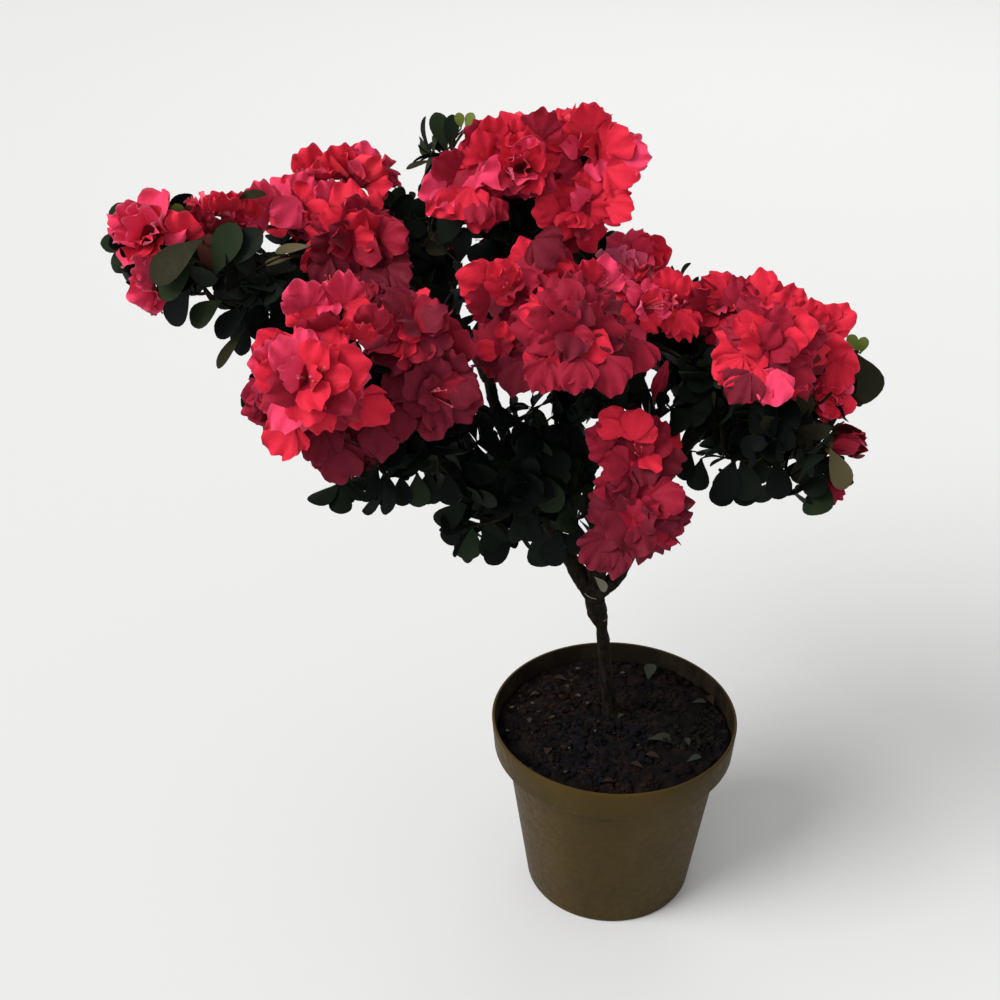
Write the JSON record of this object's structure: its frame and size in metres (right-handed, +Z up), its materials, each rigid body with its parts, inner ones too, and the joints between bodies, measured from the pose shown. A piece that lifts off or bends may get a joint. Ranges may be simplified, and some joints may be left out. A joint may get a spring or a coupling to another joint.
{
  "type": "potted azalea shrub",
  "caption": "Small flowering shrub with a bare forked stem, spreading boughs, dark leaves and double pink-red blooms, in a round plastic nursery pot filled with soil.",
  "frame": {"origin": "centre of the pot's flat underside", "axes": "+Z up from the pot's underside, +X to the right as seen from the front, +Y to the back; the longest boughs reach out to -X"},
  "size_m": [0.3588, 0.2655, 0.4372],
  "materials": {
    "pot": "dull olive-brown moulded plastic",
    "soil": "dark crumbly peat",
    "bark": "dark brown bark with fine furrows",
    "foliage": "dark green leaves and matte pink-red petals"
  },
  "bodies": {
    "root": {"pot": "pot", "potting_soil": "soil", "trunk": "bark", "left_limb": "bark", "right_limb": "bark", "bough_far_left": "bark", "bough_front_left": "bark", "bough_lower_centre": "bark", "bough_top": "bark", "bough_centre": "bark", "bough_low_front": "bark", "bough_back_left": "bark", "bough_back_right": "bark", "bough_back_far_right": "bark", "foliage_upper_left": "foliage", "foliage_right": "foliage", "foliage_far_left": "foliage", "foliage_front_left": "foliage", "foliage_lower_centre": "foliage", "foliage_top": "foliage", "foliage_centre": "foliage", "foliage_low_front": "foliage", "foliage_back_left": "foliage", "foliage_back_right": "foliage", "foliage_back_far_right": "foliage"}
  },
  "joints": []
}
